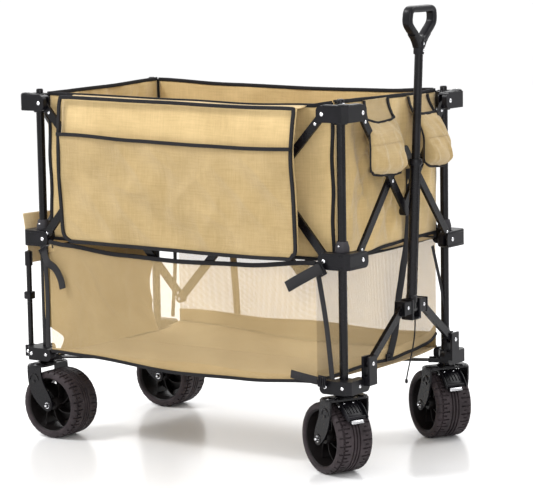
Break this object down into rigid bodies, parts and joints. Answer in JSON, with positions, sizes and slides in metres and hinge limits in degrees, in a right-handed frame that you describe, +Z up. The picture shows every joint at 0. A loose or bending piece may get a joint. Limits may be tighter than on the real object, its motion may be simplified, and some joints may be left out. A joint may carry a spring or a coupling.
{
  "type": "folding wagon",
  "caption": "Folding double-deck utility wagon: square fabric basket over a net compartment, scissor-link steel frame, wide caster wheels and a telescoping pull handle.",
  "frame": {"origin": "on the ground at the middle of the footprint box", "axes": "+X along the wagon towards the pull handle, +Y towards the far long side, +Z up"},
  "size_m": [1.0694, 0.633, 1.1139],
  "materials": {
    "frame": "black powder coat, satin",
    "joint_plastic": "black moulded nylon, fine grain",
    "tyre": "moulded tread, matt black",
    "rim": "black moulded rim",
    "canvas": "beige coated polyester canvas, plain weave",
    "mesh": "sheer beige polyester net",
    "binding": "black woven binding and webbing",
    "cord": "thin black braided cord",
    "steel": "bright zinc rivets and bolts",
    "collar": "dark grey moulded stop collar"
  },
  "bodies": {
    "root": {"lower_compartment": "mesh"},
    "corner_near_front": {"post_near_front": "frame", "top_bracket_near_front": "joint_plastic", "bottom_bracket_near_front": "joint_plastic"},
    "corner_near_rear": {"post_near_rear": "frame", "top_bracket_near_rear": "joint_plastic", "bottom_bracket_near_rear": "joint_plastic", "fork_near_rear": "frame"},
    "corner_far_front": {"post_far_front": "frame", "top_bracket_far_front": "joint_plastic", "bottom_bracket_far_front": "joint_plastic"},
    "corner_far_rear": {"post_far_rear": "frame", "top_bracket_far_rear": "joint_plastic", "bottom_bracket_far_rear": "joint_plastic", "fork_far_rear": "frame"},
    "slider_near_front": {"slider_near_front": "joint_plastic"},
    "slider_near_rear": {"slider_near_rear": "joint_plastic"},
    "slider_far_front": {"slider_far_front": "joint_plastic"},
    "slider_far_rear": {"slider_far_rear": "joint_plastic"},
    "long_link_near_front": {"long_link_near_front": "frame"},
    "long_strut_near_front": {"long_strut_near_front": "frame"},
    "short_link_near_front": {"short_link_near_front": "frame"},
    "short_strut_near_front": {"short_strut_near_front": "frame"},
    "long_link_near_rear": {"long_link_near_rear": "frame"},
    "long_strut_near_rear": {"long_strut_near_rear": "frame"},
    "short_link_near_rear": {"short_link_near_rear": "frame"},
    "short_strut_near_rear": {"short_strut_near_rear": "frame"},
    "long_link_far_front": {"long_link_far_front": "frame"},
    "long_strut_far_front": {"long_strut_far_front": "frame"},
    "short_link_far_front": {"short_link_far_front": "frame"},
    "short_strut_far_front": {"short_strut_far_front": "frame"},
    "long_link_far_rear": {"long_link_far_rear": "frame"},
    "long_strut_far_rear": {"long_strut_far_rear": "frame"},
    "short_link_far_rear": {"short_link_far_rear": "frame"},
    "short_strut_far_rear": {"short_strut_far_rear": "frame"},
    "floor_bar_near_front": {"floor_bar_near_front": "frame"},
    "floor_bar_near_rear": {"floor_bar_near_rear": "frame"},
    "floor_bar_far_front": {"floor_bar_far_front": "frame"},
    "floor_bar_far_rear": {"floor_bar_far_rear": "frame"},
    "front_end": {"basket_front": "canvas"},
    "rear_end": {"basket_rear": "canvas"},
    "near_side": {"basket_near": "canvas"},
    "far_side": {"basket_far": "canvas"},
    "handle_block": {"handle_block": "joint_plastic", "pull_cord": "cord"},
    "lower_arm_near": {"lower_arm_near": "frame"},
    "lower_arm_far": {"lower_arm_far": "frame"},
    "handle": {"handle_outer_tube": "frame"},
    "handle_slide": {"handle_inner_tube": "frame", "handle_grip": "joint_plastic"},
    "caster_near_front": {"fork_near_front": "frame"},
    "brake_pedal_near_front": {"brake_pedal_near_front": "joint_plastic"},
    "wheel_near_front": {"wheel_near_front": "tyre"},
    "wheel_near_rear": {"wheel_near_rear": "tyre"},
    "caster_far_front": {"fork_far_front": "frame"},
    "brake_pedal_far_front": {"brake_pedal_far_front": "joint_plastic"},
    "wheel_far_front": {"wheel_far_front": "tyre"},
    "wheel_far_rear": {"wheel_far_rear": "tyre"},
    "gate_arm_near": {"gate_arm_near": "frame"},
    "gate_arm_far": {"gate_arm_far": "frame"}
  },
  "joints": [
    {"name": "fold", "type": "slide", "parent": "root", "child": "corner_near_front", "axis": [-0.9517, 0.307, 0], "range_m": [0, 0.32573], "deforming": ["lower_compartment", "basket_near", "basket_far", "basket_front", "basket_rear"]},
    {"name": "fold_near_rear", "type": "slide", "parent": "root", "child": "corner_near_rear", "axis": [0.9517, 0.307, 0], "range_m": [0, 0.32623]},
    {"name": "fold_far_front", "type": "slide", "parent": "root", "child": "corner_far_front", "axis": [-0.9517, -0.307, 0], "range_m": [0, 0.32623]},
    {"name": "fold_far_rear", "type": "slide", "parent": "root", "child": "corner_far_rear", "axis": [0.9517, -0.307, 0], "range_m": [0, 0.32623]},
    {"name": "slider_drop_near_front", "type": "slide", "parent": "corner_near_front", "child": "slider_near_front", "axis": [0, 0, -1], "range_m": [0, 0.0905]},
    {"name": "slider_drop_near_rear", "type": "slide", "parent": "corner_near_rear", "child": "slider_near_rear", "axis": [0, 0, -1], "range_m": [0, 0.0905]},
    {"name": "slider_drop_far_front", "type": "slide", "parent": "corner_far_front", "child": "slider_far_front", "axis": [0, 0, -1], "range_m": [0, 0.0905]},
    {"name": "slider_drop_far_rear", "type": "slide", "parent": "corner_far_rear", "child": "slider_far_rear", "axis": [0, 0, -1], "range_m": [0, 0.0905]},
    {"name": "long_link_swing_near_front", "type": "hinge", "parent": "corner_near_front", "child": "long_link_near_front", "pos_m": [0.41632, -0.28571, 0.866], "axis": [0, -1, 0], "range_deg": [0, 31.57]},
    {"name": "long_strut_swing_near_front", "type": "hinge", "parent": "slider_near_front", "child": "long_strut_near_front", "pos_m": [0.41632, -0.27621, 0.518], "axis": [0, 1, 0], "range_deg": [0, 29.28]},
    {"name": "short_link_swing_near_front", "type": "hinge", "parent": "corner_near_front", "child": "short_link_near_front", "pos_m": [0.47582, -0.21971, 0.866], "axis": [-1, 0, 0], "range_deg": [0, 20.11]},
    {"name": "short_strut_swing_near_front", "type": "hinge", "parent": "slider_near_front", "child": "short_strut_near_front", "pos_m": [0.46632, -0.22571, 0.518], "axis": [1, 0, 0], "range_deg": [0, 22.19]},
    {"name": "long_link_swing_near_rear", "type": "hinge", "parent": "corner_near_rear", "child": "long_link_near_rear", "pos_m": [-0.44768, -0.27621, 0.866], "axis": [0, 1, 0], "range_deg": [0, 31.57]},
    {"name": "long_strut_swing_near_rear", "type": "hinge", "parent": "slider_near_rear", "child": "long_strut_near_rear", "pos_m": [-0.44768, -0.28571, 0.518], "axis": [0, -1, 0], "range_deg": [0, 29.28]},
    {"name": "short_link_swing_near_rear", "type": "hinge", "parent": "corner_near_rear", "child": "short_link_near_rear", "pos_m": [-0.50718, -0.21971, 0.866], "axis": [-1, 0, 0], "range_deg": [0, 20.11]},
    {"name": "short_strut_swing_near_rear", "type": "hinge", "parent": "slider_near_rear", "child": "short_strut_near_rear", "pos_m": [-0.49768, -0.22571, 0.518], "axis": [1, 0, 0], "range_deg": [0, 22.19]},
    {"name": "long_link_swing_far_front", "type": "hinge", "parent": "corner_far_front", "child": "long_link_far_front", "pos_m": [0.41632, 0.24829, 0.866], "axis": [0, -1, 0], "range_deg": [0, 31.57]},
    {"name": "long_strut_swing_far_front", "type": "hinge", "parent": "slider_far_front", "child": "long_strut_far_front", "pos_m": [0.41632, 0.23879, 0.518], "axis": [0, 1, 0], "range_deg": [0, 29.28]},
    {"name": "short_link_swing_far_front", "type": "hinge", "parent": "corner_far_front", "child": "short_link_far_front", "pos_m": [0.46632, 0.18229, 0.866], "axis": [1, 0, 0], "range_deg": [0, 20.11]},
    {"name": "short_strut_swing_far_front", "type": "hinge", "parent": "slider_far_front", "child": "short_strut_far_front", "pos_m": [0.47582, 0.18829, 0.518], "axis": [-1, 0, 0], "range_deg": [0, 22.19]},
    {"name": "long_link_swing_far_rear", "type": "hinge", "parent": "corner_far_rear", "child": "long_link_far_rear", "pos_m": [-0.44768, 0.23879, 0.866], "axis": [0, 1, 0], "range_deg": [0, 31.57]},
    {"name": "long_strut_swing_far_rear", "type": "hinge", "parent": "slider_far_rear", "child": "long_strut_far_rear", "pos_m": [-0.44768, 0.24829, 0.518], "axis": [0, -1, 0], "range_deg": [0, 29.28]},
    {"name": "short_link_swing_far_rear", "type": "hinge", "parent": "corner_far_rear", "child": "short_link_far_rear", "pos_m": [-0.49768, 0.18229, 0.866], "axis": [1, 0, 0], "range_deg": [0, 20.11]},
    {"name": "short_strut_swing_far_rear", "type": "hinge", "parent": "slider_far_rear", "child": "short_strut_far_rear", "pos_m": [-0.50718, 0.18829, 0.518], "axis": [-1, 0, 0], "range_deg": [0, 22.19]},
    {"name": "floor_bar_swing_near_front", "type": "hinge", "parent": "corner_near_front", "child": "floor_bar_near_front", "pos_m": [0.41762, -0.24054, 0.2035], "axis": [0.4557, 0.8901, 0], "range_deg": [0, 80.05]},
    {"name": "floor_bar_swing_near_rear", "type": "hinge", "parent": "corner_near_rear", "child": "floor_bar_near_rear", "pos_m": [-0.44897, -0.24054, 0.2035], "axis": [0.4557, -0.8901, 0], "range_deg": [0, 80.05]},
    {"name": "floor_bar_swing_far_front", "type": "hinge", "parent": "corner_far_front", "child": "floor_bar_far_front", "pos_m": [0.41762, 0.20312, 0.2035], "axis": [-0.4557, 0.8901, 0], "range_deg": [0, 80.05]},
    {"name": "floor_bar_swing_far_rear", "type": "hinge", "parent": "corner_far_rear", "child": "floor_bar_far_rear", "pos_m": [-0.44897, 0.20312, 0.2035], "axis": [-0.4557, -0.8901, 0], "range_deg": [0, 80.05]},
    {"name": "front_end_shift", "type": "slide", "parent": "root", "child": "front_end", "axis": [-1, 0, 0], "range_m": [0, 0.3105]},
    {"name": "rear_end_shift", "type": "slide", "parent": "root", "child": "rear_end", "axis": [1, 0, 0], "range_m": [0, 0.3105]},
    {"name": "near_side_shift", "type": "slide", "parent": "root", "child": "near_side", "axis": [0, 1, 0], "range_m": [0, 0.1005]},
    {"name": "far_side_shift", "type": "slide", "parent": "root", "child": "far_side", "axis": [0, -1, 0], "range_m": [0, 0.1005]},
    {"name": "handle_block_rise", "type": "slide", "parent": "front_end", "child": "handle_block", "axis": [0, 0, 1], "range_m": [0, 0.0677]},
    {"name": "lower_arm_swing_near", "type": "hinge", "parent": "handle_block", "child": "lower_arm_near", "pos_m": [0.48932, -0.06471, 0.377], "axis": [1, 0, 0], "range_deg": [0, 38.45]},
    {"name": "lower_arm_swing_far", "type": "hinge", "parent": "handle_block", "child": "lower_arm_far", "pos_m": [0.48932, 0.02729, 0.377], "axis": [-1, 0, 0], "range_deg": [0, 38.45]},
    {"name": "handle_tilt", "type": "hinge", "parent": "handle_block", "child": "handle", "pos_m": [0.48932, -0.01871, 0.372], "axis": [0, 1, 0], "range_deg": [0, 80]},
    {"name": "handle_telescope", "type": "slide", "parent": "handle", "child": "handle_slide", "axis": [-0.0436, 0, -0.999], "range_m": [0, 0.17]},
    {"name": "caster_swivel_near_front", "type": "hinge", "parent": "corner_near_front", "child": "caster_near_front", "pos_m": [0.44432, -0.25421, 0.15], "axis": [0, 0, 1], "continuous": true},
    {"name": "brake_press_near_front", "type": "hinge", "parent": "caster_near_front", "child": "brake_pedal_near_front", "pos_m": [0.45243, -0.25765, 0.17613], "axis": [0.3907, 0.9205, 0], "range_deg": [0, 5]},
    {"name": "wheel_spin_near_front", "type": "hinge", "parent": "caster_near_front", "child": "wheel_near_front", "pos_m": [0.41395, -0.24132, 0.0875], "axis": [0.3907, 0.9205, 0], "continuous": true},
    {"name": "wheel_spin_near_rear", "type": "hinge", "parent": "corner_near_rear", "child": "wheel_near_rear", "pos_m": [-0.43368, -0.25421, 0.0875], "axis": [0, 1, 0], "continuous": true},
    {"name": "caster_swivel_far_front", "type": "hinge", "parent": "corner_far_front", "child": "caster_far_front", "pos_m": [0.44432, 0.21679, 0.15], "axis": [0, 0, 1], "continuous": true},
    {"name": "brake_press_far_front", "type": "hinge", "parent": "caster_far_front", "child": "brake_pedal_far_front", "pos_m": [0.45188, 0.21225, 0.17613], "axis": [0.515, 0.8572, 0], "range_deg": [0, 5]},
    {"name": "wheel_spin_far_front", "type": "hinge", "parent": "caster_far_front", "child": "wheel_far_front", "pos_m": [0.41604, 0.23379, 0.0875], "axis": [0.515, 0.8572, 0], "continuous": true},
    {"name": "wheel_spin_far_rear", "type": "hinge", "parent": "corner_far_rear", "child": "wheel_far_rear", "pos_m": [-0.43368, 0.21679, 0.0875], "axis": [0, 1, 0], "continuous": true},
    {"name": "gate_drop", "type": "hinge", "parent": "corner_near_rear", "child": "gate_arm_near", "pos_m": [-0.52568, -0.25871, 0.216], "axis": [0, -1, 0], "range_deg": [0, 90]},
    {"name": "gate_drop_far", "type": "hinge", "parent": "corner_far_rear", "child": "gate_arm_far", "pos_m": [-0.52568, 0.22129, 0.216], "axis": [0, -1, 0], "range_deg": [0, 90.05]}
  ],
  "couplings": [
    {"joint": "fold_near_rear", "follows": "fold", "ratio": 1},
    {"joint": "fold_far_front", "follows": "fold", "ratio": 1},
    {"joint": "fold_far_rear", "follows": "fold", "ratio": 1},
    {"joint": "slider_drop_near_front", "follows": "fold", "ratio": 0.2763},
    {"joint": "slider_drop_near_rear", "follows": "fold", "ratio": 0.2763},
    {"joint": "slider_drop_far_front", "follows": "fold", "ratio": 0.2763},
    {"joint": "slider_drop_far_rear", "follows": "fold", "ratio": 0.2763},
    {"joint": "long_link_swing_near_front", "follows": "fold", "rad_per_m": 1.689},
    {"joint": "long_strut_swing_near_front", "follows": "fold", "rad_per_m": 1.5663},
    {"joint": "short_link_swing_near_front", "follows": "fold", "rad_per_m": 1.0748},
    {"joint": "short_strut_swing_near_front", "follows": "fold", "rad_per_m": 1.1865},
    {"joint": "long_link_swing_near_rear", "follows": "fold", "rad_per_m": 1.689},
    {"joint": "long_strut_swing_near_rear", "follows": "fold", "rad_per_m": 1.5663},
    {"joint": "short_link_swing_near_rear", "follows": "fold", "rad_per_m": 1.0748},
    {"joint": "short_strut_swing_near_rear", "follows": "fold", "rad_per_m": 1.1865},
    {"joint": "long_link_swing_far_front", "follows": "fold", "rad_per_m": 1.689},
    {"joint": "long_strut_swing_far_front", "follows": "fold", "rad_per_m": 1.5663},
    {"joint": "short_link_swing_far_front", "follows": "fold", "rad_per_m": 1.0748},
    {"joint": "short_strut_swing_far_front", "follows": "fold", "rad_per_m": 1.1865},
    {"joint": "long_link_swing_far_rear", "follows": "fold", "rad_per_m": 1.689},
    {"joint": "long_strut_swing_far_rear", "follows": "fold", "rad_per_m": 1.5663},
    {"joint": "short_link_swing_far_rear", "follows": "fold", "rad_per_m": 1.0748},
    {"joint": "short_strut_swing_far_rear", "follows": "fold", "rad_per_m": 1.1865},
    {"joint": "floor_bar_swing_near_front", "follows": "fold", "rad_per_m": 4.2866},
    {"joint": "floor_bar_swing_near_rear", "follows": "fold", "rad_per_m": 4.2866},
    {"joint": "floor_bar_swing_far_front", "follows": "fold", "rad_per_m": 4.2866},
    {"joint": "floor_bar_swing_far_rear", "follows": "fold", "rad_per_m": 4.2866},
    {"joint": "front_end_shift", "follows": "fold", "ratio": 0.95171},
    {"joint": "rear_end_shift", "follows": "fold", "ratio": 0.95171},
    {"joint": "near_side_shift", "follows": "fold", "ratio": 0.307},
    {"joint": "far_side_shift", "follows": "fold", "ratio": 0.307},
    {"joint": "handle_block_rise", "follows": "fold", "ratio": 0.20631},
    {"joint": "lower_arm_swing_near", "follows": "fold", "rad_per_m": 2.0576},
    {"joint": "lower_arm_swing_far", "follows": "fold", "rad_per_m": 2.0576},
    {"joint": "gate_drop_far", "follows": "gate_drop", "ratio": 1}
  ]
}
